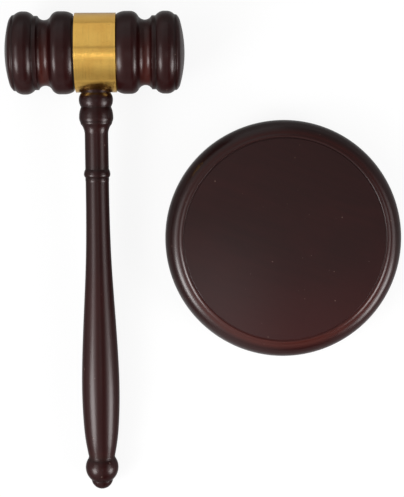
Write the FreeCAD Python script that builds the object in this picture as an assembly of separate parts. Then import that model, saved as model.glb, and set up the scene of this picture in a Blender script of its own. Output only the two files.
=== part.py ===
"""A turned wooden gavel lying beside its round sound block.

Millimetres, +Z up. The origin is under the middle of the set, on the table. The gavel's head
lies along X, its handle points down -Y, and the sound block stands on its felt to the right.
"""
import FreeCAD
import Part
import math
import os

# Fits and fine work, shared by the pieces
overrun = 2.0            # how far a cutting tool runs past the wood
glue_gap = 0.05          # glue line and thread play, per side
end_gap = 0.2            # room left past the end of a tenon or a bolt
quirk_step = 0.15        # depth of the fine lines that part two mouldings
quirk_width = 0.15

# Head: one half, from its middle out to the striking face
head_bead_r = 21.5
seat_play = 0.65         # seat left bare at each edge of a centred band
quirk_w = 1.0            # turned groove at the foot of each inner bead
quirk_depth = 0.8
inner_foot_depth = 1.5   # depths are measured in from the top of the beads
inner_rise_w = 4.7
inner_crest_w = 2.6
cove_depth = 4.5
cove_near_w = 7.6
cove_far_w = 3.5
cove_turn_share = 0.53   # where the bead's curve turns into the cove's
fillet_depth = 2.3
fillet_w = 2.05
outer_rise_w = 4.55
outer_crest_w = 1.2
outer_fall_w = 4.0
land_depth = 1.75
land_taper = 0.15
land_w = 1.1
face_edge_w = 1.85
face_edge_drop = 2.9
dome_h = 2.35

# Brass band, rolled from strip round the seat
band_w = 21.3
band_wall = 0.8
band_sink = 0.85         # the band's face below the tops of the beads
band_shift_share = 0.64  # the band lies off centre by this share of its play
seam_gap = 0.25

# Handle: stations run out from the head, radii from the handle's own axis
tenon_r = 7.7
tenon_depth = 5.8        # tenon below the seat of the band
tenon_chamfer = 0.5
bead_one_r = 8.97
bead_one_rise_w = 3.6
bead_one_fall_w = 3.8
neck_r = 7.9
bead_two_r = 9.0
bead_two_rise_w = 5.5
bead_two_fall_w = 2.2
bead_two_end_r = 8.55
ring_w = 1.55
ring_end_r = 7.85
flare_w = 4.85
shaft_top_r = 6.19
shaft_w = 18.4
shaft_foot_r = 6.24
collar_r = 6.97
collar_rise_w = 2.6
collar_fall_w = 1.9
ledge_r = 6.27
ledge_w = 1.2
ledge_fall_w = 0.7
grip_start_r = 6.16
grip_w = 149.1
grip_r = 10.1
grip_end_r = 7.05
grip_end_slope_share = 0.19   # how steeply the grip closes on the knob
knob_foot_w = 1.1
knob_foot_r = 7.3
knob_r = 8.87
knob_rise_w = 4.95
knob_fall_w = 6.55
knob_end_r = 6.1
tip_r = 5.85
tip_h = 5.25

# The grip's swell: shares of its length, and of its fullest radius
grip_shares = ((0.15, 0.627), (0.298, 0.688), (0.445, 0.809), (0.593, 0.931),
               (0.7435, 1.0), (0.868, 0.95), (0.948, 0.836))

# Fixing inside the head: a brass insert and a steel bolt with a wood screw at one end
bolt_r = 3.0
bolt_short = 1.2         # the bolt stops this far short of the insert's blind end
bolt_in_handle = 26.0
bolt_point = 4.5
bolt_chamfer = 0.6
insert_wall = 2.0
insert_w = 13.0
insert_slot_w = 1.2
insert_slot_depth = 2.0

# Sound block
block_r = 63.5
block_t = 22.0
base_round = 2.0
rim_w = 7.7
rim_h = 10.2
rim_bead_w = 2.2
rim_bead_rise = 0.55
rim_step = 0.8           # the struck face above the foot of the rim bead
face_round = 0.2
felt_t = 1.0
felt_inset = 5.0

# Where the block stands, from the middle of the gavel's head
block_across = 99.2
block_down = 98.9

ALONG = FreeCAD.Vector(1, 0, 0)
OUT = FreeCAD.Vector(0, 0, 1)
IN = FreeCAD.Vector(0, 0, -1)

# The band's seat, the socket and the tenon follow from the head, the band and the bolt
band_r = head_bead_r - band_sink
seat_r = band_r - band_wall - glue_gap
seat_half = band_w / 2 + seat_play
band_shift = seat_play * band_shift_share
socket_floor = seat_r - tenon_depth
tenon_end = socket_floor + end_gap
insert_end = socket_floor - insert_w
bolt_start = insert_end + bolt_short
bolt_end = tenon_end + bolt_in_handle
bore_r = bolt_r + glue_gap

# Stations along the handle, measured from the axis of the head
shoulder = band_r + glue_gap
collar_start = (shoulder + bead_one_rise_w + bead_one_fall_w + bead_two_rise_w + bead_two_fall_w
                + 2 * quirk_width + ring_w + flare_w + shaft_w)
grip_start = (collar_start + collar_rise_w + collar_fall_w + quirk_width
              + ledge_w + ledge_fall_w)
grip_end = grip_start + grip_w
knob_crest = grip_end + knob_foot_w + knob_rise_w
handle_tip = knob_crest + knob_fall_w + quirk_width + tip_h

# From the middle of the head to the top of a striking face
half_length = (seat_half + inner_rise_w + inner_crest_w + cove_near_w + cove_far_w + fillet_w
               + outer_rise_w + outer_crest_w + outer_fall_w + land_w + face_edge_w + dome_h)


class HalfSection:
    """Half of a turned outline: x runs along the axis and r away from it."""

    def __init__(self, x, r):
        self.start = self.at = FreeCAD.Vector(x, 0, r)
        self.edges = []

    def line(self, x, r):
        end = FreeCAD.Vector(x, 0, r)
        self.edges.append(Part.LineSegment(self.at, end).toShape())
        self.at = end

    def step(self, dx, dr):
        """A straight cut to a place given from here."""
        self.line(self.at.x + dx, self.at.z + dr)

    def arc(self, x, r, tangent, leaving):
        """A round stretch that leaves here, or arrives there, along the tangent."""
        end = FreeCAD.Vector(x, 0, r)
        touch, other = (self.at, end) if leaving else (end, self.at)
        normal = FreeCAD.Vector(-tangent.z, 0, tangent.x)
        chord = other - touch
        centre = touch + normal * (chord.dot(chord) / (2 * chord.dot(normal)))
        middle = (touch - centre) + (other - centre)
        middle.normalize()
        via = centre + middle * (touch - centre).Length
        self.edges.append(Part.Arc(self.at, via, end).toShape())
        self.at = end

    def leave(self, tangent, x, r):
        self.arc(x, r, tangent, True)

    def arrive(self, tangent, x, r):
        self.arc(x, r, tangent, False)

    def ogee(self, x, r, turn_share):
        """Two arcs, level at both ends, that meet at a share of the way."""
        here = self.at
        end = FreeCAD.Vector(x, 0, r)
        turn = here + (end - here) * turn_share
        self.leave(ALONG, turn.x, turn.z)
        self.arrive(ALONG, x, r)

    def oval(self, x, r):
        """A quarter turn from level to square, flatter on the longer side."""
        high, wide = x - self.at.x, self.at.z - r
        half_turn = math.sqrt(0.5)
        spread = 2 * half_turn - 1
        low_r = (high * half_turn - wide * (1 - half_turn)) / spread
        turn_x = self.at.x + low_r * half_turn
        turn_r = self.at.z - low_r * (1 - half_turn)
        self.leave(ALONG, turn_x, turn_r)
        self.arrive(IN, x, r)

    def spline(self, points, last_tangent):
        """A fair curve through the points, level where it starts."""
        places = [self.at] + [FreeCAD.Vector(x, 0, r) for x, r in points]
        curve = Part.BSplineCurve()
        curve.interpolate(Points=places, InitialTangent=ALONG, FinalTangent=last_tangent)
        self.edges.append(curve.toShape())
        self.at = places[-1]

    def turned(self):
        """The solid that the outline makes when it is turned about the axis."""
        self.line(self.start.x, self.start.z)
        face = Part.Face(Part.Wire(self.edges))
        return face.revolve(FreeCAD.Vector(0, 0, 0), ALONG, 360)


def rod(x, length, radius):
    """A round bar along X."""
    return Part.makeCylinder(radius, length, FreeCAD.Vector(x, 0, 0), ALONG)


def down_handle(shape):
    """Turn a shape made along X to run down -Y, as the handle does."""
    shape.rotate(FreeCAD.Vector(0, 0, 0), FreeCAD.Vector(0, 0, 1), -90)
    return shape


def upright(shape):
    """Stand a shape made along X on end."""
    shape.rotate(FreeCAD.Vector(0, 0, 0), FreeCAD.Vector(0, 1, 0), -90)
    return shape


def head_half_section():
    """Half of the head, from the middle of the band's seat to the striking face."""
    section = HalfSection(0, 0)
    section.line(0, seat_r)
    section.line(seat_half - quirk_w, seat_r)
    section.step(0, -quirk_depth)
    section.step(quirk_w, 0)
    section.line(seat_half, head_bead_r - inner_foot_depth)
    section.arrive(ALONG, seat_half + inner_rise_w, head_bead_r)
    section.step(inner_crest_w, 0)
    section.ogee(section.at.x + cove_near_w, head_bead_r - cove_depth, cove_turn_share)
    section.leave(ALONG, section.at.x + cove_far_w, head_bead_r - fillet_depth)
    section.step(fillet_w, 0)
    section.arrive(ALONG, section.at.x + outer_rise_w, head_bead_r)
    section.step(outer_crest_w, 0)
    section.leave(ALONG, section.at.x + outer_fall_w, head_bead_r - land_depth)
    section.step(land_w, -land_taper)
    dome_x = section.at.x + face_edge_w
    dome_edge_r = section.at.z - face_edge_drop
    dome_r = (dome_h ** 2 + dome_edge_r ** 2) / (2 * dome_h)
    dome_edge = FreeCAD.Vector(dome_edge_r, 0, dome_h - dome_r)
    section.arrive(dome_edge, dome_x, dome_edge_r)
    section.arrive(IN, dome_x + dome_h, 0)
    return section


def build_head():
    """Turned head with the band's seat, the handle's socket and the insert's hole."""
    right = head_half_section().turned()
    left = right.mirror(FreeCAD.Vector(0, 0, 0), ALONG)
    head = right.fuse(left).removeSplitter()
    socket = rod(socket_floor, tenon_depth + overrun, tenon_r + glue_gap)
    insert_hole = rod(insert_end - end_gap, insert_w + end_gap + overrun,
                      bolt_r + insert_wall + glue_gap)
    return head.cut(down_handle(socket.fuse(insert_hole)))


def build_band():
    """Brass strip rolled to a ring, its ends meeting either side of the handle's hole."""
    left_edge = band_shift - band_w / 2
    ring = rod(left_edge, band_w, band_r)
    ring = ring.cut(rod(left_edge - overrun, band_w + 2 * overrun, band_r - band_wall))
    hole = down_handle(rod(0, band_r + overrun, tenon_r + glue_gap))
    seam = Part.makeBox(band_w + 2 * overrun, band_r + overrun, seam_gap,
                        FreeCAD.Vector(left_edge - overrun, -band_r - overrun, -seam_gap / 2))
    return ring.cut(hole.fuse(seam))


def build_handle():
    """Turned handle from its tenon to the tip of the knob, bored for the bolt."""
    section = HalfSection(tenon_end, 0)
    section.step(0, tenon_r - tenon_chamfer)
    section.step(tenon_chamfer, tenon_chamfer)
    section.line(shoulder, tenon_r)
    section.arrive(ALONG, section.at.x + bead_one_rise_w, bead_one_r)
    section.leave(ALONG, section.at.x + bead_one_fall_w, neck_r)
    section.arrive(ALONG, section.at.x + bead_two_rise_w, bead_two_r)
    section.leave(ALONG, section.at.x + bead_two_fall_w, bead_two_end_r)
    section.step(quirk_width, -quirk_step)
    section.leave(ALONG, section.at.x + ring_w, ring_end_r)
    section.step(quirk_width, -quirk_step)
    section.arrive(ALONG, section.at.x + flare_w, shaft_top_r)
    section.line(collar_start, shaft_foot_r)
    section.arrive(ALONG, section.at.x + collar_rise_w, collar_r)
    section.leave(ALONG, section.at.x + collar_fall_w, ledge_r - quirk_step)
    section.step(quirk_width, quirk_step)
    section.step(ledge_w, 0)
    section.line(grip_start, grip_start_r)
    swell = [(grip_start + along * grip_w, full * grip_r) for along, full in grip_shares]
    section.spline(swell + [(grip_end, grip_end_r)],
                   FreeCAD.Vector(1, 0, -grip_end_slope_share))
    section.step(knob_foot_w, knob_foot_r - grip_end_r)
    section.arrive(ALONG, knob_crest, knob_r)
    section.leave(ALONG, section.at.x + knob_fall_w, knob_end_r)
    section.step(quirk_width, tip_r - knob_end_r)
    section.arrive(IN, section.at.x + tip_h, 0)
    bore = HalfSection(tenon_end - overrun, 0)
    bore.line(tenon_end - overrun, bore_r)
    bore.line(bolt_end - bolt_point, bore_r)
    bore.line(bolt_end + end_gap, 0)
    return down_handle(section.turned().cut(bore.turned()))


def build_hanger_bolt():
    """Steel bolt: the blunt end screws into the insert, the pointed end into the handle."""
    section = HalfSection(bolt_start, 0)
    section.step(0, bolt_r - bolt_chamfer)
    section.step(bolt_chamfer, bolt_chamfer)
    section.line(bolt_end - bolt_point, bolt_r)
    section.line(bolt_end, 0)
    return down_handle(section.turned())


def build_insert():
    """Brass threaded insert with a slot across its mouth for the driver."""
    outer_r = bolt_r + insert_wall
    sleeve = rod(insert_end, insert_w, outer_r)
    sleeve = sleeve.cut(rod(insert_end - overrun, insert_w + 2 * overrun, bore_r))
    slot = Part.makeBox(insert_slot_depth + overrun, insert_slot_w, 2 * (outer_r + overrun),
                        FreeCAD.Vector(socket_floor - insert_slot_depth, -insert_slot_w / 2,
                                       -outer_r - overrun))
    return down_handle(sleeve.cut(slot))


def build_block():
    """Turned sound block: round base edge, full rim, small bead and raised face."""
    top = felt_t + block_t
    section = HalfSection(felt_t, 0)
    section.line(felt_t, block_r - base_round)
    section.leave(OUT, felt_t + base_round, block_r)
    section.line(top - rim_step - rim_h, block_r)
    section.oval(top - rim_step, block_r - rim_w)
    bead_mid_r = block_r - rim_w - rim_bead_w / 2
    section.arrive(IN, top - rim_step + rim_bead_rise, bead_mid_r)
    section.leave(IN, top - rim_step, bead_mid_r - rim_bead_w / 2)
    section.line(top - face_round, section.at.z)
    section.leave(ALONG, top, section.at.z - face_round)
    section.line(top, 0)
    return upright(section.turned())


def build_felt():
    """Felt disc glued under the block."""
    return upright(rod(0, felt_t, block_r - base_round - felt_inset))


def handle_slope():
    """The angle at which the handle drops so that the head and the knob both rest."""
    knob_arc_r = (knob_fall_w ** 2 + (knob_r - knob_end_r) ** 2) / (2 * (knob_r - knob_end_r))
    sunk = knob_r - knob_arc_r
    reach = math.hypot(knob_crest, sunk)
    return math.asin((head_bead_r - knob_arc_r) / reach) - math.atan2(sunk, knob_crest)


def main():
    slope = handle_slope()
    middle_x = (block_across + block_r - half_length) / 2
    middle_y = (head_bead_r - handle_tip * math.cos(slope)) / 2
    head_at = FreeCAD.Vector(-middle_x, -middle_y, head_bead_r)
    block_at = FreeCAD.Vector(block_across - middle_x, -block_down - middle_y, 0)

    gavel = {
        "head": build_head(),
        "brass_band": build_band(),
        "handle": build_handle(),
        "hanger_bolt": build_hanger_bolt(),
        "threaded_insert": build_insert(),
    }
    for shape in gavel.values():
        shape.rotate(FreeCAD.Vector(0, 0, 0), ALONG, math.degrees(slope))
        shape.translate(head_at)
    block = {"sound_block": build_block(), "felt_pad": build_felt()}
    for shape in block.values():
        shape.translate(block_at)

    os.makedirs("parts", exist_ok=True)
    for name, shape in {**gavel, **block}.items():
        shape.exportStep("parts/%s.step" % name)
    print("head at", head_at, "block at", block_at, "handle slope", math.degrees(slope))


main()
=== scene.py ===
"""The looks of a turned gavel and its sound block: lacquered wood, brushed brass and felt."""

import bmesh
import bpy
import math
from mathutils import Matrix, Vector
from mathutils.geometry import interpolate_bezier


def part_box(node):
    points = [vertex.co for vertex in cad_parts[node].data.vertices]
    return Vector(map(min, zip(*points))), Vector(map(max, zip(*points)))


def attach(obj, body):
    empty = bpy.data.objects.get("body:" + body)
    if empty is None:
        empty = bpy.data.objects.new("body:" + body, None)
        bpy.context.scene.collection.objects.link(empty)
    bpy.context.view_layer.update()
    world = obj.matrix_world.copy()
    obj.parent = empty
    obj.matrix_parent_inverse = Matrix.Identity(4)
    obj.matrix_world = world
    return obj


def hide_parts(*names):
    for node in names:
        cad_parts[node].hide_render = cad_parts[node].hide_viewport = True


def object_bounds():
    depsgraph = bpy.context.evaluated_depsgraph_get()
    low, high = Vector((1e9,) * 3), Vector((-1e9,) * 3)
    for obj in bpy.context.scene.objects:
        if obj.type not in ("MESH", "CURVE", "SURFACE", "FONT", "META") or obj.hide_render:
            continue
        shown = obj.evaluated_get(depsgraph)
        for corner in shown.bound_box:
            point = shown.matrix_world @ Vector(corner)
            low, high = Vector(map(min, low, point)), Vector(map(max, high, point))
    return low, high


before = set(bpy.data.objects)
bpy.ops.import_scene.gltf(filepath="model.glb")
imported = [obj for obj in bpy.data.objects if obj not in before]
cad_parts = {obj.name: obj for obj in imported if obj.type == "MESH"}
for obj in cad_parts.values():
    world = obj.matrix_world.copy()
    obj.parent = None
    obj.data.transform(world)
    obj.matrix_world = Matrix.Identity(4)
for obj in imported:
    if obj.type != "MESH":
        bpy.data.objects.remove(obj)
cad_box = [list(corner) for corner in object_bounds()]

MM = 0.001
TOUCH = 0.002 * MM                  # a distance this small counts as none
WELD = TOUCH / 4                    # points this near to each other are made one

# Turning
STEPS_ROUND = 240                   # facets round a turned piece
CORNER = math.radians(15)           # an outline that turns more than this at a point has a corner
CREASE = math.radians(32)           # edges sharper than this are shaded as edges
LONGEST_STEP = 3.5 * MM             # along an outline
WIDEST_TURN = math.radians(3)       # between two steps of an outline
STRAIGHT_SHARE = 1.7                # a stretch this much longer than the next one is straight
EASE = 0.16 * MM                    # how far sanding and lacquer round off a corner
BLOCK_EASE = 0.8 * MM
EASE_POINTS = 7

# Brass band: it is rolled from strip, and its ends meet at the handle
BAND_WALL = 0.8 * MM
BAND_SEAM = 0.25 * MM
BAND_EDGE = 0.25 * MM               # broken edges of the strip
BAND_EDGE_STEPS = 3
TENON_PLAY = 0.05 * MM              # between the handle and the hole
BAND_COLUMNS = 44                   # across the hole, and across each side of it
BAND_ROWS = 220                     # round the band

FELT_EDGE = 0.35 * MM               # how far its cut edges are rounded

# Stain, as shares that each outline carries onto its skin
PAINTED_WARM_LIGHT = "painted_warm_light"                   # share of painted warm light: light bounced in coves, the block's lit rim
PAINTED_SHADE = "painted_shade"                   # share of painted shade: in inner corners and on steep walls
COVE_REACH = 6 * MM                 # a cove has higher wood this near to it on both sides
COVE_DEPTH = 3 * MM
# How far painted shade reaches from an inner corner, and how much the block gets
SHADE_REACH = 0.7 * MM
BLOCK_SHADE_SHARE = 0.25
END_SHARE = 0.85                    # beyond the last wood this wide lie the end faces
STEEP = (0.82, 0.97)                # sines between which a wall goes from clear to painted shade
RIM_FADE = 1.5 * MM                 # from the block's flat face into its rim of painted warm light
FLANK = (3.2 * MM, 5.6 * MM)        # beyond the face, where the rim goes from painted warm light to painted shade
# How much painted shade lies down the outer flank
FLANK_SHADE_SHARE = 0.5

# The stain's colours: darker and lighter streaks, and painted light, a redder tone on the lit
# front
GAVEL_STAIN_AND_LIT_TONE = ((0.0055, 0.0009, 0.0008, 1), (0.0100, 0.0013, 0.0011, 1),
               (0.0150, 0.0009, 0.0010, 1))
BLOCK_STAIN_AND_LIT_TONE = ((0.0080, 0.0006, 0.0005, 1), (0.0110, 0.0010, 0.0009, 1),
               (0.0280, 0.0014, 0.0014, 1))

# What lies over the streaks, and how much of it
# Painted light: how much of the redder tone lies on the lit front side
LIT_SIDE_SHARE = 0.8
# Painted warm light, for light bounced in coves and falling on the block's rim
WARM_LIGHT_RED = (0.055, 0.0085, 0.0050, 1)
WARM_LIGHT_SHARE_BACK = 0.15
WARM_LIGHT_SHARE_LIT_SIDE = 0.75             # so much more painted warm light on the lit front
PATCH_RED = (0.020, 0.0018, 0.0018, 1)
PATCH_SHARE = 0.4
PORE_DARK = (0.007, 0.002, 0.002, 1)
PORE_SHARE = 0.35
# Painted shade, in corners, on steep walls and down the block's flank
PAINTED_SHADE_DARK = (0.0045, 0.0016, 0.0012, 1)
PAINTED_SHADE_SHARE = 0.8
DUST = (0.25, 0.16, 0.13, 1)
DUST_SHARE = 0.4

# Patterns of the wood, in cells to a metre along the grain and across it
FIBRES = (45, 900, 900)
VESSELS = (260, 3600, 3600)
RINGS = (14, 190, 120)
PATCHES = (24, 48, 48)
PEEL = (700, 700, 700)              # the faint unevenness of sprayed lacquer
TONE_STEP = (0.3, 0.7)              # values of a pattern between which it goes from 0 to 1
PATCH_STEP = (0.4, 0.75)
PORE_STEP = (0.62, 0.74)
DUST_STEP = (0.86, 0.9)
CUT_FROM = {                        # where in the patterns each piece lies
    "head": (0.31, 0.02, 0.11),
    "handle": (0.07, 0.19, 0.0),
    "sound_block": (0.4, 0.1, 0.3),
}
BLOCK_GRAIN_TURN = math.radians(20)
RELIEF = 0.02 * MM                  # height of the finest marks on wood and metal

# Lacquer: its coat, how satin it is, how far its flat faces are rubbed down, and its painted gleam
GAVEL_LACQUER = (0.42, 0.25, 0.0, 0.0)
BLOCK_LACQUER = (0.56, 0.27, 0.9, 0.44)
MOULDED_STEP = (0.1, 0.4)           # shares of painted warm light and shade that tell a moulding from a flat face

# How the coat changes as a surface turns from facing the eye, 0, to edge on, 1
TILTED = (0.02, 0.12)
TILTED_GAIN = 0.2
LOW_ANGLE = (0.22, 0.5)
LOW_ANGLE_LOSS = 0.56
EDGE_ON = (0.5, 0.9)
EDGE_ON_GAIN = 0.5

# Patterns of the metals and the felt, in cells to a metre
BRUSH_LINES = (11000, 40, 40)
BRUSH_SCORES = (1700, 30, 30)
TARNISH = (90, 120, 120)
TARNISH_STEP = (0.3, 0.75)
BRASS_SPECKS = (1500, 1500, 1500)
SPECK_STEP = (0.66, 0.75)
TOOL_MARKS = (900, 4200, 900)
WEAR = (260, 260, 260)
FELT_HAIRS = (2600, 2600, 2600)
FELT_CLUMPS = (420, 420, 420)
FELT_RELIEF = 0.15 * MM

# Colours of the metals and the felt
BRASS = (0.96, 0.58, 0.13, 1)
TARNISHED_BRASS = (0.88, 0.49, 0.10, 1)
SPECKED_BRASS = (0.42, 0.21, 0.06, 1)
BRUSHED_BRASS = (0.95, 0.70, 0.28, 1)
FELT_DARK = (0.006, 0.028, 0.014, 1)
FELT_LIGHT = (0.020, 0.075, 0.038, 1)
WHITE = (1, 1, 1, 1)

# Hardware: its colour, its colour where it is worn, and its roughness
PLATED_STEEL = ((0.52, 0.52, 0.53, 1), (0.62, 0.62, 0.60, 1), 0.25)
TURNED_BRASS = ((0.72, 0.48, 0.18, 1), (0.60, 0.38, 0.13, 1), 0.28)

# Lamps: azimuth and angle from overhead in degrees, width, height and brightness
LAMP_AWAY = 1.0
LAMPS = {
    "left_softbox": (209, 58, 0.46, 0.42, 10.5),
    "left_fill": (187, 44, 0.80, 0.50, 2.4),
    "right_softbox": (331, 70, 0.46, 0.42, 10.5),
    "right_fill": (350, 54, 0.80, 0.50, 2.2),
    "front_card": (263, 15, 0.30, 0.05, 0.35),
}

# Table top
TABLE_REACH = 8.0
TABLE_PAINT = (0.32, 0.32, 0.32, 1)     # for the light that it throws back
TABLE_PAINT_SEEN = (0.9, 0.9, 0.9, 1)   # for the camera
TABLE_FADE = (0.25, 0.7)            # from the set's middle, where it goes to plain white
PAINT_SHARE_NEAR = 0.12             # how much of the paint the camera sees near the set
MIRRORED_WHITE = 0.25               # how much plain white the lacquer and the brass mirror

# The camera stands above the table, a little to the right of the gavel's head and below it
CAMERA_FROM_HEAD = Vector((31.64, -60.92, 678.5)) * MM
CAMERA_TURN = (math.radians(-3.5435), math.radians(-2.0071), math.radians(-0.6654))
CAMERA_LENS = 93.05
CAMERA_NEAR = 10 * MM


def middle(node):
    """The middle of a node's box."""
    low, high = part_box(node)
    return (low + high) / 2


class Axis:
    """The line that a piece is turned about, and the side on which its outline is read."""

    def __init__(self, centre, along, side):
        self.centre = centre
        self.along = along.normalized()
        self.side = side.normalized()
        self.across = self.along.cross(self.side)

    def point(self, station, radius):
        """The point of an outline in the set's own frame."""
        return self.centre + self.along * station + self.side * radius

    def read(self, point):
        """Station along the axis, radius on the outline's side, and distance from its plane."""
        arm = point - self.centre
        return arm.dot(self.along), arm.dot(self.side), abs(arm.dot(self.across))


HEAD_MIDDLE = middle("head")
handle_points = [v.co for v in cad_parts["handle"].data.vertices]
HANDLE_TIP = max(handle_points, key=lambda p: (p - HEAD_MIDDLE).length)
DOWN_HANDLE = (HANDLE_TIP - HEAD_MIDDLE).normalized()
SLOPE = math.asin(-DOWN_HANDLE.z)
ALONG_HEAD = Vector((1, 0, 0))
ABOVE_GAVEL = ALONG_HEAD.cross(-DOWN_HANDLE)
FELT_LOW, FELT_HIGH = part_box("felt_pad")
BLOCK_FOOT = Vector((middle("felt_pad").x, middle("felt_pad").y, 0))
UP = Vector((0, 0, 1))
SET_MIDDLE = (Vector(cad_box[0]) + Vector(cad_box[1])) / 2

# The block's painted gleam fades out between these, to the right and to the back
GLEAM_ACROSS = (BLOCK_FOOT.x - 40 * MM, BLOCK_FOOT.x + 10 * MM)
GLEAM_ALONG = (BLOCK_FOOT.y - 37 * MM, BLOCK_FOOT.y + 23 * MM)

head_axis = Axis(HEAD_MIDDLE, ALONG_HEAD, ABOVE_GAVEL)
handle_axis = Axis(HEAD_MIDDLE, DOWN_HANDLE, ABOVE_GAVEL)
block_axis = Axis(BLOCK_FOOT, UP, Vector((-1, 0, 0)))


def seam_outline(node, axis):
    """The half outline of a turned node, as (station, radius), read along its seam."""
    solid = bmesh.new()
    solid.from_mesh(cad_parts[node].data)
    bmesh.ops.remove_doubles(solid, verts=solid.verts, dist=WELD)
    seam = {}
    for vert in solid.verts:
        station, radius, off = axis.read(vert.co)
        if off < TOUCH and radius > -TOUCH:
            seam[vert] = (station, max(radius, 0.0))
    left = sorted(seam, key=seam.get)
    outline = []
    while left:
        vert = min(left, key=lambda v: sum(e.other_vert(v) in left for e in v.link_edges))
        if outline and math.dist(outline[0], seam[vert]) < math.dist(outline[-1], seam[vert]):
            outline.reverse()
        while vert:
            outline.append(seam[vert])
            left.remove(vert)
            vert = next((e.other_vert(vert) for e in vert.link_edges
                         if e.other_vert(vert) in left), None)
    solid.free()
    for end in (0, -1):
        station, radius = outline[end]
        if radius > TOUCH:
            outline.insert(len(outline) if end else 0, (station, 0.0))
    return [Vector(point) for point in outline]


def turn_at(outline, i):
    """The angle by which an outline turns at one of its points."""
    return (outline[i] - outline[i - 1]).angle(outline[i + 1] - outline[i], 0.0)


def heading(before, here, after):
    """The way of a smooth curve through three points, at the middle one.

    A stretch much longer than its neighbour is straight, so the curve leaves it in line.
    """
    back, ahead = here - before, after - here
    if back.length > STRAIGHT_SHARE * ahead.length:
        return back.normalized()
    if ahead.length > STRAIGHT_SHARE * back.length:
        return ahead.normalized()
    way = back * (ahead.length / back.length) + ahead * (back.length / ahead.length)
    return way / (back.length + ahead.length)


def smooth_outline(outline):
    """More points along the smooth stretches of an outline; its corners stay."""
    last = len(outline) - 1
    corners = {0, last} | {i for i in range(1, last) if turn_at(outline, i) > CORNER}
    finer = [outline[0]]
    for i in range(last):
        start, end = outline[i], outline[i + 1]
        chord = end - start
        ways = [None if k in corners else heading(*outline[k - 1:k + 2]) for k in (i, i + 1)]
        straight = chord.normalized()
        if ways[0] is None:
            ways[0] = 2 * straight - ways[1] if ways[1] else straight
        if ways[1] is None:
            ways[1] = 2 * straight - ways[0]
        turned = ways[0].angle(ways[1], 0.0)
        steps = max(1, math.ceil(chord.length / LONGEST_STEP), math.ceil(turned / WIDEST_TURN))
        third = chord.length / 3
        finer += interpolate_bezier(start, start + ways[0] * third, end - ways[1] * third,
                                    end, steps + 1)[1:]
    return [Vector(point[:2]) for point in finer]


def ease_corners(outline, ease=EASE):
    """Round off the corners of an outline; corners that lie close together share one curve."""
    corners = [i for i in range(1, len(outline) - 1) if turn_at(outline, i) > CORNER]
    groups = []
    for i in corners:
        if groups and math.dist(outline[groups[-1][-1]], outline[i]) < 2 * ease:
            groups[-1].append(i)
        else:
            groups.append([i])
    eased, done = [], 0
    for group in groups:
        first, last = outline[group[0]], outline[group[-1]]
        before, after = group[0] - 1, group[-1] + 1
        while before > done and math.dist(outline[before], first) < ease:
            before -= 1
        while after < len(outline) - 1 and math.dist(outline[after], last) < ease:
            after += 1
        start = first.lerp(outline[before], min(1.0, ease / math.dist(first, outline[before])))
        end = last.lerp(outline[after], min(1.0, ease / math.dist(last, outline[after])))
        bend = interpolate_bezier(start, start.lerp(first, 2 / 3), end.lerp(last, 2 / 3), end,
                                  EASE_POINTS)
        eased += outline[done:before + 1] + [Vector(point[:2]) for point in bend]
        done = after
    eased += outline[done:]
    return [point for i, point in enumerate(eased)
            if i == 0 or math.dist(point, eased[i - 1]) > TOUCH]


class Graph:
    """A node tree, in which one call adds a node, sets it and links it."""

    def __init__(self, tree):
        self.tree = tree

    def add(self, kind, settings=None, inputs=None, output=0):
        """A new node's output, by its name or its number."""
        node = self.tree.nodes.new(kind)
        for name, value in (settings or {}).items():
            setattr(node, name, value)
        for name, value in (inputs or {}).items():
            self.feed(node.inputs[name], value)
        return Wire(self, node.outputs[output] if node.outputs else None)

    def feed(self, socket, value):
        """Link a wire to a socket, or set the socket to a value."""
        if isinstance(value, Wire):
            self.tree.links.new(value.socket, socket)
        else:
            socket.default_value = value


class Wire:
    """A socket that works in sums: each operator adds its Math node."""

    def __init__(self, graph, socket):
        self.graph = graph
        self.socket = socket

    def output(self, name):
        """Another output of the same node."""
        return Wire(self.graph, self.socket.node.outputs[name])

    def math(self, operation, first, second=0.0):
        """The result of a Math node."""
        return self.graph.add("ShaderNodeMath", {"operation": operation},
                              {0: first, 1: second})

    def __add__(self, other):
        return self.math("ADD", self, other)

    def __radd__(self, other):
        return self.math("ADD", other, self)

    def __sub__(self, other):
        return self.math("SUBTRACT", self, other)

    def __rsub__(self, other):
        return self.math("SUBTRACT", other, self)

    def __mul__(self, other):
        return self.math("MULTIPLY", self, other)

    def __rmul__(self, other):
        return self.math("MULTIPLY", other, self)

    def __truediv__(self, other):
        return self.math("DIVIDE", self, other)

    def floor(self):
        return self.math("FLOOR", self)


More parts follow.
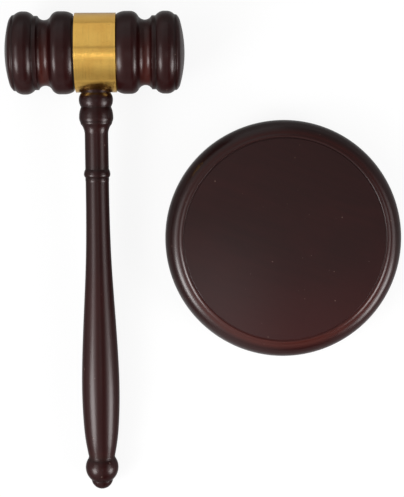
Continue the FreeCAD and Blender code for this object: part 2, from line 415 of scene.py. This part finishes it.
def turning_tree():
    """Geometry Nodes that turn an outline about an axis into a closed, shaded skin."""
    tree = bpy.data.node_groups.new("turning", "GeometryNodeTree")
    for name, kind in (("Outline", "Geometry"), ("Centre", "Vector"), ("Axis", "Vector"),
                       ("Steps Round", "Int"), ("Crease", "Float"), ("Finish", "Material")):
        tree.interface.new_socket(name, in_out="INPUT", socket_type="NodeSocket" + kind)
    tree.interface.new_socket("Turned", in_out="OUTPUT", socket_type="NodeSocketGeometry")
    graph = Graph(tree)
    given = graph.add("NodeGroupInput")
    outline, steps = given.output("Outline"), given.output("Steps Round")

    points = graph.add("GeometryNodeAttributeDomainSize", {"component": "MESH"},
                       {"Geometry": outline})
    grid = graph.add("GeometryNodeMeshGrid", None,
                     {"Vertices X": points, "Vertices Y": steps + 1})
    index = graph.add("GeometryNodeInputIndex")
    row = (index / (steps + 1)).floor()
    step = index - row * (steps + 1)
    place = graph.add("GeometryNodeSampleIndex", {"data_type": "FLOAT_VECTOR"},
                      {"Geometry": outline, "Value": graph.add("GeometryNodeInputPosition"),
                       "Index": row})
    turned = graph.add("ShaderNodeVectorRotate", {"rotation_type": "AXIS_ANGLE"},
                       {"Vector": place, "Center": given.output("Centre"),
                        "Axis": given.output("Axis"), "Angle": step * math.tau / steps})
    skin = graph.add("GeometryNodeSetPosition", None, {"Geometry": grid, "Position": turned})
    for name in (PAINTED_WARM_LIGHT, PAINTED_SHADE):
        carried = graph.add("GeometryNodeInputNamedAttribute", {"data_type": "FLOAT"},
                            {"Name": name})
        share = graph.add("GeometryNodeSampleIndex", {"data_type": "FLOAT"},
                          {"Geometry": outline, "Index": row, "Value": carried})
        skin = graph.add("GeometryNodeStoreNamedAttribute", {"data_type": "FLOAT"},
                         {"Geometry": skin, "Name": name, "Value": share})
    closed = graph.add("GeometryNodeMergeByDistance", None,
                       {"Geometry": skin, "Distance": WELD})
    smooth = graph.add("FunctionNodeCompare", {"operation": "LESS_THAN"},
                       {"A": graph.add("GeometryNodeInputMeshEdgeAngle"),
                        "B": given.output("Crease")})
    shaded = graph.add("GeometryNodeSetShadeSmooth", {"domain": "EDGE"},
                       {"Geometry": closed, "Shade Smooth": smooth})
    real = graph.add("GeometryNodeRealizeInstances", None, {"Geometry": shaded})
    finished = graph.add("GeometryNodeSetMaterial", None,
                         {"Geometry": real, "Material": given.output("Finish")})
    graph.add("NodeGroupOutput", None, {"Turned": finished})
    return tree


TURNING = turning_tree()


def as_plain_mesh(piece):
    """Replace a piece's modifiers by their result, with its faces outwards."""
    result = bpy.data.meshes.new_from_object(
        piece.evaluated_get(bpy.context.evaluated_depsgraph_get()))
    piece.modifiers.clear()
    piece.data = result
    skin = bmesh.new()
    skin.from_mesh(result)
    bmesh.ops.recalc_face_normals(skin, faces=skin.faces)
    skin.to_mesh(result)
    skin.free()
    result.name = piece.name
    return piece


def new_piece(name, verts, edges, faces):
    """An object of its own, from points, edges and faces."""
    mesh = bpy.data.meshes.new(name)
    mesh.from_pydata(verts, edges, faces)
    piece = bpy.data.objects.new(name, mesh)
    bpy.context.scene.collection.objects.link(piece)
    return piece


def clamp(value):
    """The value as a share, from 0 to 1."""
    return min(max(value, 0.0), 1.0)


def hollows(outline):
    """How far each point of an outline lies in a cove, as a share."""
    shares = []
    for station, radius in outline:
        before = max(r for s, r in outline if station - COVE_REACH <= s <= station)
        after = max(r for s, r in outline if station <= s <= station + COVE_REACH)
        shares.append(clamp((min(before, after) - radius) / COVE_DEPTH))
    return shares


def corner_shade(outline, sharp):
    """How much painted shade lies beside the inner corners of the sharp outline, as a share."""
    corners = [sharp[i] for i in range(1, len(sharp) - 1)
               if turn_at(sharp, i) > CORNER
               and (sharp[i] - sharp[i - 1]).cross(sharp[i + 1] - sharp[i]) > 0]
    gaps = [min(math.dist(point, corner) for corner in corners) for point in outline]
    return [math.exp(-gap / SHADE_REACH) for gap in gaps]


def steep_walls(outline):
    """Where an outline is nearly square to its axis, as a share, but not on its end faces."""
    widest = max(radius for station, radius in outline)
    body = [station for station, radius in outline if radius > widest * END_SHARE]
    shares = [0.0]
    for before, here, after in zip(outline, outline[1:], outline[2:]):
        sine = abs((after - before).normalized().y)
        inside = body[0] < here.x < body[-1]
        shares.append(clamp((sine - STEEP[0]) / (STEEP[1] - STEEP[0])) if inside else 0.0)
    return shares + [0.0]


def turn(name, outline, axis, finish, tones_and_painted_light=()):
    """A turned piece, from an outline of (station, radius) points that may carry painted light."""
    points = [axis.point(*point) for point in outline]
    links = [(i, i + 1) for i in range(len(points) - 1)]
    piece = new_piece(name, points, links, [])
    for tone_and_painted_light, shares in tones_and_painted_light:
        carried = piece.data.attributes.new(tone_and_painted_light, "FLOAT", "POINT")
        carried.data.foreach_set("value", shares)
    lathe = piece.modifiers.new("turning", "NODES")
    lathe.node_group = TURNING
    sizes = {"Centre": axis.centre, "Axis": axis.along, "Steps Round": STEPS_ROUND,
             "Crease": CREASE, "Finish": finish}
    for item in TURNING.interface.items_tree:
        if item.name in sizes:
            lathe[item.identifier] = sizes[item.name]
    return as_plain_mesh(piece)


def stand_for(piece, node, body):
    """The piece is shown in the place of a node, and moves with its body."""
    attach(piece, body)
    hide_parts(node)


def shader(name):
    """An empty material with its tree."""
    material = bpy.data.materials.new(name)
    material.use_nodes = True
    material.node_tree.nodes.clear()
    return material, Graph(material.node_tree)


def finish_with(graph, inputs):
    """The surface itself, with what is set or linked on it."""
    surface = graph.add("ShaderNodeBsdfPrincipled", None, inputs)
    graph.add("ShaderNodeOutputMaterial", None, {"Surface": surface})


def spread(graph, cells, turn_by=(0, 0, 0), shift=(0, 0, 0)):
    """Object coordinates turned to the grain and shifted, then scaled to cells in a metre."""
    seen = graph.add("ShaderNodeTexCoord", output="Object")
    laid = graph.add("ShaderNodeMapping", None,
                     {"Vector": seen, "Rotation": turn_by, "Location": shift})
    return graph.add("ShaderNodeVectorMath", {"operation": "MULTIPLY"}, {0: laid, 1: cells})


def noise(graph, where, detail, roughness=0.55, distortion=0.0):
    """A soft random pattern, one cell to each unit of its coordinates."""
    return graph.add("ShaderNodeTexNoise", None,
                     {"Vector": where, "Scale": 1.0, "Detail": detail,
                      "Roughness": roughness, "Distortion": distortion}, "Fac")


def attribute(graph, name):
    """A share that the skin carries."""
    return graph.add("ShaderNodeAttribute", {"attribute_name": name}, None, "Fac")


def side_and_back(graph, vector):
    """The x and the y of a vector."""
    parts = graph.add("ShaderNodeSeparateXYZ", None, {"Vector": vector})
    return parts.output("X"), parts.output("Y")


def blend(graph, share, first, second):
    """Two colours mixed by a share, which may vary."""
    return graph.add("ShaderNodeMix", {"data_type": "RGBA"},
                     {0: share, 6: first, 7: second}, 2)


def layered(graph, colour, layers):
    """A colour with others laid over it in turn, each by its share."""
    for share, over in layers:
        colour = blend(graph, share, colour, over)
    return colour


def ramp(graph, value, low, high):
    """0 below low, 1 above high, and smooth between them."""
    return graph.add("ShaderNodeMapRange", {"interpolation_type": "SMOOTHSTEP"},
                     {"Value": value, "From Min": low, "From Max": high})


def strip(graph, value, rise, fall):
    """1 between the rise and the fall, 0 outside them, and smooth along both."""
    return ramp(graph, value, *rise) - ramp(graph, value, *fall)


def bump(graph, height, distance, strength):
    """The shading of a relief; distance is how high 1 stands."""
    return graph.add("ShaderNodeBump", None,
                     {"Height": height, "Distance": distance, "Strength": strength})


def lacquered_wood(name, tones_and_painted_light, lacquer, grain_turn, cut_from, depth):
    """Close-grained wood in dark red-brown stain, under satin lacquer.

    Depth is where a redder tone, painted light for the lit front side, fades to the plain stain.
    Lacquer that is rubbed down, away from the mouldings, shines less at a low angle. A gleam is
    a painted highlight: more coat towards the block's front left, for the glow of light there.
    """
    coat, satin, rubbed, gleam = lacquer
    material, graph = shader(name)
    fibres, vessels, rings, patches, peel = [
        spread(graph, cells, grain_turn, cut_from)
        for cells in (FIBRES, VESSELS, RINGS, PATCHES, PEEL)]

    streak = noise(graph, fibres, detail=5.0, roughness=0.62, distortion=0.4)
    ring = noise(graph, rings, detail=2.0, distortion=1.2)
    tone = ramp(graph, streak * 0.4 + ring * 0.6, *TONE_STEP)
    patch = ramp(graph, noise(graph, patches, detail=2.0), *PATCH_STEP)
    pore = ramp(graph, noise(graph, vessels, detail=1.0), *PORE_STEP)
    speck = ramp(graph, noise(graph, peel, detail=0.0), *DUST_STEP)
    painted_warm_light, painted_shade = attribute(graph, PAINTED_WARM_LIGHT), attribute(graph, PAINTED_SHADE)
    side, back = side_and_back(graph, graph.add("ShaderNodeTexCoord", output="Object"))
    # Painted light: the front side, where the light falls, is given a redder tone
    lit_side = 1 - ramp(graph, back, *depth)
    # Painted highlight: more coat towards the block's front left, for the glow of light there
    painted_gleam = (1 - ramp(graph, side, *GLEAM_ACROSS)) * (1 - ramp(graph, back, *GLEAM_ALONG))

    # Painted light lies over the streaks: a redder lit front, warm coves and rim, shaded corners
    tone_and_painted_light = layered(graph, tones_and_painted_light[0], (
        (tone, tones_and_painted_light[1]),
        (lit_side * LIT_SIDE_SHARE, tones_and_painted_light[2]),
        (painted_warm_light * (WARM_LIGHT_SHARE_BACK + WARM_LIGHT_SHARE_LIT_SIDE * lit_side), WARM_LIGHT_RED),
        (patch * PATCH_SHARE, PATCH_RED),
        (pore * PORE_SHARE, PORE_DARK),
        (painted_shade * PAINTED_SHADE_SHARE, PAINTED_SHADE_DARK),
        (speck * DUST_SHARE, DUST)))

    relief = streak * 0.25 + noise(graph, peel, detail=1.0) * 0.5 - pore * 0.4
    facing = graph.add("ShaderNodeLayerWeight", None, {"Blend": 0.5}, "Facing")
    low_angle = ramp(graph, facing, *LOW_ANGLE)
    moulded = ramp(graph, painted_warm_light + 3 * painted_shade, *MOULDED_STEP)
    dulled = rubbed * (1 - moulded) * low_angle
    shine = (coat + TILTED_GAIN * ramp(graph, facing, *TILTED) - LOW_ANGLE_LOSS * low_angle
             + EDGE_ON_GAIN * ramp(graph, facing, *EDGE_ON) + gleam * painted_gleam)
    finish_with(graph, {
        "Base Color": tone_and_painted_light,
        "Roughness": 0.42 + 0.10 * streak + 0.4 * dulled,
        "Specular IOR Level": 0.13,
        "Specular Tint": (1.0, 0.45, 0.42, 1),
        "Coat Weight": shine * (1 - dulled),
        "Coat Roughness": satin,
        "Coat IOR": 1.45,
        "Normal": bump(graph, relief, RELIEF, 0.4),
    })
    return material


def brushed_brass():
    """Rolled brass strip, brushed along its length and a little tarnished."""
    material, graph = shader("brushed_brass")
    lines = noise(graph, spread(graph, BRUSH_LINES), detail=0.0)
    scores = noise(graph, spread(graph, BRUSH_SCORES), detail=1.0)
    cloud = noise(graph, spread(graph, TARNISH), detail=4.0)
    speck = ramp(graph, noise(graph, spread(graph, BRASS_SPECKS), detail=1.0), *SPECK_STEP)
    metal = layered(graph, BRASS, (
        (ramp(graph, cloud, *TARNISH_STEP), TARNISHED_BRASS),
        (speck * 0.35, SPECKED_BRASS),
        (lines * 0.12, BRUSHED_BRASS)))
    relief = lines * 1.1 + scores * 0.2 - speck * 0.3
    finish_with(graph, {
        "Base Color": metal,
        "Metallic": 1.0,
        "Roughness": 0.11 + 0.08 * cloud + 0.1 * speck,
        "Normal": bump(graph, relief, RELIEF, 0.8),
    })
    return material


def machined_metal(name, colour, worn, roughness):
    """Turned hardware with fine tool marks along it."""
    material, graph = shader(name)
    marks = noise(graph, spread(graph, TOOL_MARKS), detail=2.0)
    cloud = noise(graph, spread(graph, WEAR), detail=3.0)
    finish_with(graph, {
        "Base Color": blend(graph, cloud, colour, worn),
        "Metallic": 1.0,
        "Roughness": roughness + 0.15 * cloud,
        "Normal": bump(graph, marks, RELIEF, 0.6),
    })
    return material


def green_felt():
    """Short dense felt."""
    material, graph = shader("green_felt")
    hairs = noise(graph, spread(graph, FELT_HAIRS), detail=4.0, roughness=0.7, distortion=1.5)
    clumps = noise(graph, spread(graph, FELT_CLUMPS), detail=2.0)
    shade = ramp(graph, hairs * 0.6 + clumps * 0.4, *TONE_STEP)
    finish_with(graph, {
        "Base Color": blend(graph, shade, FELT_DARK, FELT_LIGHT),
        "Roughness": 0.95,
        "Specular IOR Level": 0.1,
        "Sheen Weight": 0.3,
        "Normal": bump(graph, hairs, FELT_RELIEF, 0.8),
    })
    return material


def build_wood(node, axis, grain_turn, body):
    """A turned wooden piece of the gavel."""
    low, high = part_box(node)
    wood = lacquered_wood(node + "_lacquer", GAVEL_STAIN_AND_LIT_TONE, GAVEL_LACQUER, grain_turn,
                          CUT_FROM[node], (low.y, high.y))
    sharp = smooth_outline(seam_outline(node, axis))
    outline = ease_corners(sharp)
    # Painted shade beside inner corners and on steep walls
    dark = [max(pair) for pair in zip(corner_shade(outline, sharp), steep_walls(outline))]
    # Painted warm light in the coves, for the light bounced between their walls
    tones_and_painted_light = ((PAINTED_WARM_LIGHT, hollows(outline)), (PAINTED_SHADE, dark))
    stand_for(turn(node + "_turned", outline, axis, wood, tones_and_painted_light), node, body)


def build_block():
    """The block, with painted warm light round its rim and painted shade down its flank."""
    low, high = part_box("sound_block")
    wood = lacquered_wood("block_lacquer", BLOCK_STAIN_AND_LIT_TONE, BLOCK_LACQUER, (0, 0, BLOCK_GRAIN_TURN),
                          CUT_FROM["sound_block"], (low.y, BLOCK_FOOT.y))
    sharp = smooth_outline(seam_outline("sound_block", block_axis))
    outline = ease_corners(sharp, BLOCK_EASE)
    face_r = max(radius for station, radius in outline if station > high.z - TOUCH)
    out = [radius - face_r for station, radius in outline]
    # Painted warm light round the rim, giving way to painted shade down the flank
    flank = [clamp((gap - FLANK[0]) / (FLANK[1] - FLANK[0])) for gap in out]
    rim = [clamp(gap / RIM_FADE) * (1 - side) for gap, side in zip(out, flank)]
    # Painted shade: a little beside inner corners, more down the outer flank
    dark = [max(share * BLOCK_SHADE_SHARE, side * FLANK_SHADE_SHARE)
            for share, side in zip(corner_shade(outline, sharp), flank)]
    tones_and_painted_light = ((PAINTED_WARM_LIGHT, rim), (PAINTED_SHADE, dark))
    stand_for(turn("sound_block_turned", outline, block_axis, wood, tones_and_painted_light),
              "sound_block", "sound_block")


def build_felt():
    """The felt disc under the block, with its cut edges eased."""
    radius = (FELT_HIGH.x - FELT_LOW.x) / 2
    height = FELT_HIGH.z - FELT_LOW.z
    outline = [Vector(p) for p in ((0, 0), (0, radius), (height, radius), (height, 0))]
    stand_for(turn("felt_disc", ease_corners(outline, FELT_EDGE), block_axis, green_felt()),
              "felt_pad", "sound_block")


def band_columns(hole_r, half, shift):
    """Where the strip's columns of points lie along the head, closer at the hole's sides."""
    inside = [hole_r * math.sin(math.pi / 2 * (2 * i / BAND_COLUMNS - 1))
              for i in range(BAND_COLUMNS + 1)]
    outside = [hole_r + (half + abs(shift) - hole_r) * i / BAND_COLUMNS
               for i in range(1, BAND_COLUMNS + 1)]
    columns = [-x for x in reversed(outside)] + inside + outside
    return sorted({min(max(x, shift - half), shift + half) for x in columns})


def band_points(columns, hole_r, radius):
    """The strip's outer face, column by column, from one of its ends round to the other."""
    points = []
    for x in columns:
        notch = math.sqrt(max(hole_r ** 2 - x ** 2, (BAND_SEAM / 2) ** 2))
        start = math.asin(notch / radius)
        for row in range(BAND_ROWS + 1):
            angle = start + (math.tau - 2 * start) * row / BAND_ROWS
            out = DOWN_HANDLE * math.cos(angle) + ABOVE_GAVEL * math.sin(angle)
            points.append(HEAD_MIDDLE + ALONG_HEAD * x + out * radius)
    return points


def build_band():
    """The strip, rolled round the head, with half of the handle's hole in each end."""
    low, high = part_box("brass_band")
    radius = (high.z - low.z) / 2
    tenon_r = next(r for station, r in seam_outline("handle", handle_axis)
                   if abs(station - radius) < LONGEST_STEP and r > BAND_WALL)
    hole_r = tenon_r + TENON_PLAY
    columns = band_columns(hole_r, (high.x - low.x) / 2,
                           (low.x + high.x) / 2 - HEAD_MIDDLE.x)
    in_column = BAND_ROWS + 1
    faces = []
    for column in range(len(columns) - 1):
        for row in range(BAND_ROWS):
            a = column * in_column + row
            faces.append((a, a + in_column, a + in_column + 1, a + 1))
    band = new_piece("brass_strip", band_points(columns, hole_r, radius), [], faces)
    band.data.materials.append(brushed_brass())
    for face in band.data.polygons:
        face.use_smooth = True
    wall = band.modifiers.new("wall", "SOLIDIFY")
    wall.thickness = BAND_WALL
    wall.offset = -1.0                  # the strip's outer face stays where it is
    edge = band.modifiers.new("edge", "BEVEL")
    edge.width = BAND_EDGE
    edge.segments = BAND_EDGE_STEPS
    edge.limit_method = "ANGLE"
    edge.angle_limit = CREASE
    stand_for(as_plain_mesh(band), "brass_band", "gavel")


def build_pieces():
    """Every piece that is shown in the place of a node."""
    build_wood("head", head_axis, (-SLOPE, 0, 0), "gavel")
    build_wood("handle", handle_axis, (-SLOPE, 0, math.pi / 2), "gavel")
    build_block()
    build_felt()
    build_band()


def dress_hardware():
    """A better material on the nodes whose own shapes are right as they are."""
    finishes = {"hanger_bolt": machined_metal("plated_steel", *PLATED_STEEL),
                "threaded_insert": machined_metal("turned_brass", *TURNED_BRASS)}
    for node, material in finishes.items():
        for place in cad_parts[node].material_slots:
            place.material = material


def lamp(name, azimuth, from_overhead, wide, tall, brightness):
    """A flat lamp that faces the set; brightness is what a mirror would show of it."""
    azimuth, from_overhead = math.radians(azimuth), math.radians(from_overhead)
    flat = math.sin(from_overhead)
    toward = Vector((flat * math.cos(azimuth), flat * math.sin(azimuth),
                     math.cos(from_overhead)))
    light = bpy.data.lights.new(name, "AREA")
    light.shape = "RECTANGLE"
    light.size, light.size_y = wide, tall
    light.energy = brightness * math.pi * wide * tall
    holder = bpy.data.objects.new(name, light)
    holder.location = SET_MIDDLE + toward * LAMP_AWAY
    holder.rotation_euler = toward.to_track_quat("Z", "Y").to_euler()
    holder.visible_camera = False
    bpy.context.scene.collection.objects.link(holder)


def room_level(graph):
    """How bright the room is in each direction, in shares of white."""
    side, back = side_and_back(graph, graph.add("ShaderNodeTexCoord", output="Generated"))
    but_low_front = ramp(graph, back, -1.0, -0.55)
    dark_strip = strip(graph, back, (0.11, 0.15), (0.21, 0.25))
    right_half = ramp(graph, side, 0.02, 0.15)
    far_left = ramp(graph, -1 * side, 0.3, 0.8)
    bright_patch = (strip(graph, side, (0.02, 0.06), (0.07, 0.18))
                    * strip(graph, back, (-0.36, -0.22), (-0.17, -0.04)))
    return (0.42 + 0.28 * but_low_front - 0.24 * dark_strip - 0.44 * right_half
            - 0.20 * far_left + 2.7 * bright_patch)


def light_the_set():
    """The lamps, and a pale room round them."""
    for name, setting in LAMPS.items():
        lamp(name, *setting)
    world = bpy.data.worlds.new("studio")
    world.use_nodes = True
    world.node_tree.nodes.clear()
    bpy.context.scene.world = world
    graph = Graph(world.node_tree)
    room = graph.add("ShaderNodeBackground", None,
                     {"Color": WHITE, "Strength": room_level(graph)})
    graph.add("ShaderNodeOutputWorld", None, {"Surface": room})


def lay_floor():
    """A pale table top, nearly white with a faint shadow near the set, plain white further off."""
    reach = TABLE_REACH
    corners = [(-reach, -reach, 0), (reach, -reach, 0), (reach, reach, 0), (-reach, reach, 0)]
    top = new_piece("table_top", corners, [], [(0, 1, 2, 3)])
    material, graph = shader("pale_table")
    white = graph.add("ShaderNodeEmission", None, {"Color": WHITE, "Strength": 1.0})
    rays = graph.add("ShaderNodeLightPath")
    seen = rays.output("Is Camera Ray")
    mirrored = rays.output("Is Glossy Ray") + rays.output("Is Transmission Ray")
    paint = graph.add("ShaderNodeBsdfDiffuse", None,
                      {"Color": blend(graph, seen, TABLE_PAINT, TABLE_PAINT_SEEN)})
    place = graph.add("ShaderNodeTexCoord", output="Object")
    away = graph.add("ShaderNodeVectorMath", {"operation": "LENGTH"}, {0: place}, "Value")
    near = 1 - ramp(graph, away, *TABLE_FADE)
    share = seen * (1 - PAINT_SHARE_NEAR * near) + mirrored * MIRRORED_WHITE
    mixed = graph.add("ShaderNodeMixShader", None, {0: share, 1: paint, 2: white})
    graph.add("ShaderNodeOutputMaterial", None, {"Surface": mixed})
    top.data.materials.append(material)


def aim_camera():
    """The photo's view."""
    data = bpy.data.cameras.new("camera")
    data.lens = CAMERA_LENS
    data.clip_start = CAMERA_NEAR
    camera = bpy.data.objects.new("camera", data)
    camera.location = HEAD_MIDDLE + CAMERA_FROM_HEAD
    camera.rotation_mode = "YXZ"
    camera.rotation_euler = CAMERA_TURN
    bpy.context.scene.collection.objects.link(camera)
    bpy.context.scene.camera = camera


aim_camera()
light_the_set()
lay_floor()
build_pieces()
dress_hardware()

bpy.context.scene.view_settings.view_transform = "Standard"
